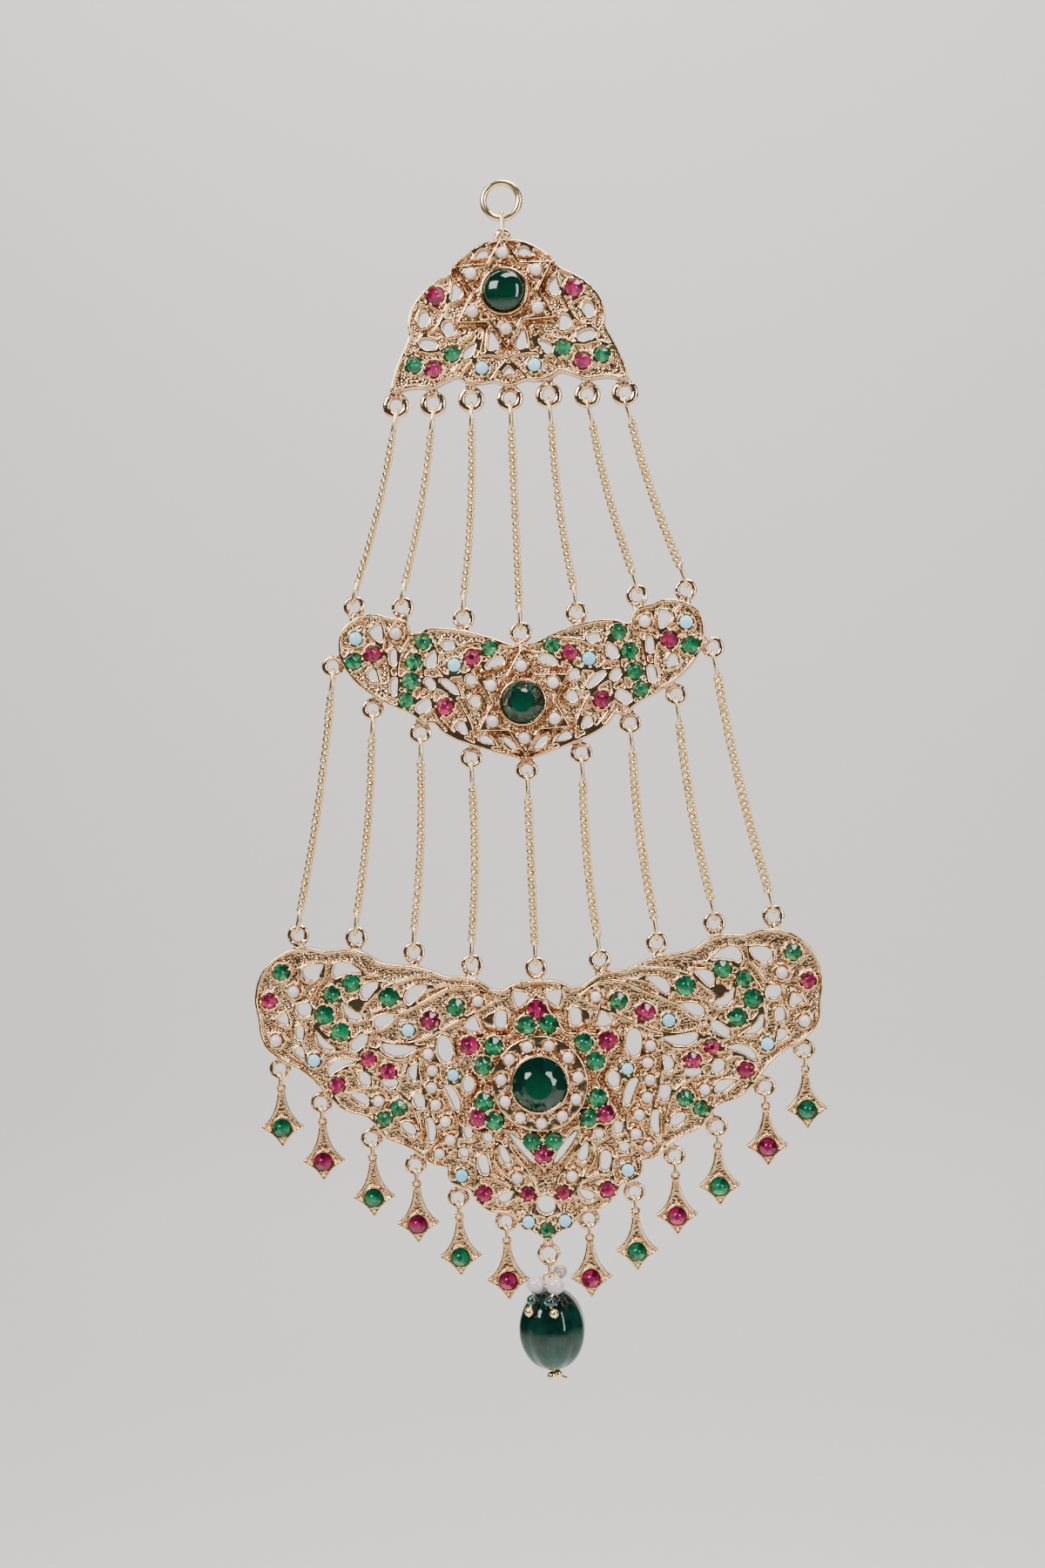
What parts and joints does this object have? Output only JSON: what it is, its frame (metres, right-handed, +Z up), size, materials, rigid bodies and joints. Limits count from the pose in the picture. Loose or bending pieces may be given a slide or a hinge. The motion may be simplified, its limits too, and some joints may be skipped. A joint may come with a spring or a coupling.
{
  "type": "jhoomar headpiece",
  "caption": "Hanging gold headpiece of pierced, stone-set panels joined by fine chains, with star drops along its lower edge and a fluted bead pendant.",
  "frame": {"origin": "where the hang ring rests on its pin, at the top of the ring's bore", "axes": "+Z up, -Y towards the stones' side, +X to the right seen from the front"},
  "size_m": [0.0784, 0.0098, 0.1655],
  "materials": {
    "gold": "satin gold plate with darker recesses",
    "emerald": "polished, cut",
    "ruby": "polished, cut",
    "pearl": "pearl",
    "turquoise": "polished",
    "dark_bead": "dark translucent"
  },
  "bodies": {
    "ring": {"hang_ring": "gold"},
    "headpiece": {"bail_link": "gold", "top_panel": "gold", "top_centre_stone": "emerald", "top_pearls": "pearl", "top_emeralds": "emerald", "top_rubies": "ruby", "top_turquoises": "turquoise", "mid_panel": "gold", "mid_centre_stone": "emerald", "mid_pearls": "pearl", "mid_emeralds": "emerald", "mid_rubies": "ruby", "mid_turquoises": "turquoise", "bottom_panel": "gold", "bottom_centre_stone": "emerald", "bottom_pearls": "pearl", "bottom_emeralds": "emerald", "bottom_rubies": "ruby", "bottom_turquoises": "turquoise", "upper_chain_1": "gold", "upper_chain_2": "gold", "upper_chain_3": "gold", "upper_chain_4": "gold", "upper_chain_5": "gold", "upper_chain_6": "gold", "upper_chain_7": "gold", "lower_chain_1": "gold", "lower_chain_2": "gold", "lower_chain_3": "gold", "lower_chain_4": "gold", "lower_chain_5": "gold", "lower_chain_6": "gold", "lower_chain_7": "gold", "lower_chain_8": "gold", "lower_chain_9": "gold", "drop_1": "gold", "drop_2": "gold", "drop_3": "gold", "drop_4": "gold", "drop_5": "gold", "drop_6": "gold", "drop_7": "gold", "drop_8": "gold", "drop_9": "gold", "drop_10": "gold", "drop_11": "gold", "drop_12": "gold", "drop_links": "gold", "drop_emeralds": "emerald", "drop_rubies": "ruby"},
    "pendant_link": {"pendant_link": "gold"},
    "pendant": {"pendant_wires": "gold", "pendant_pearls": "pearl", "pendant_seed_beads": "dark_bead", "pendant_gold_beads": "gold", "pendant_bead": "dark_bead"}
  },
  "joints": [
    {"name": "headpiece_swing", "type": "hinge", "parent": "ring", "child": "headpiece", "pos_m": [0, 0, -0.00447], "axis": [1, 0, 0], "range_deg": [-75, 75]},
    {"name": "pendant_swing", "type": "hinge", "parent": "headpiece", "child": "pendant_link", "pos_m": [0, 0, -0.14852], "axis": [1, 0, 0], "range_deg": [-40, 40]},
    {"name": "pendant_sway", "type": "hinge", "parent": "pendant_link", "child": "pendant", "pos_m": [0, 0, -0.14972], "axis": [0, 1, 0], "range_deg": [-8, 8]}
  ]
}
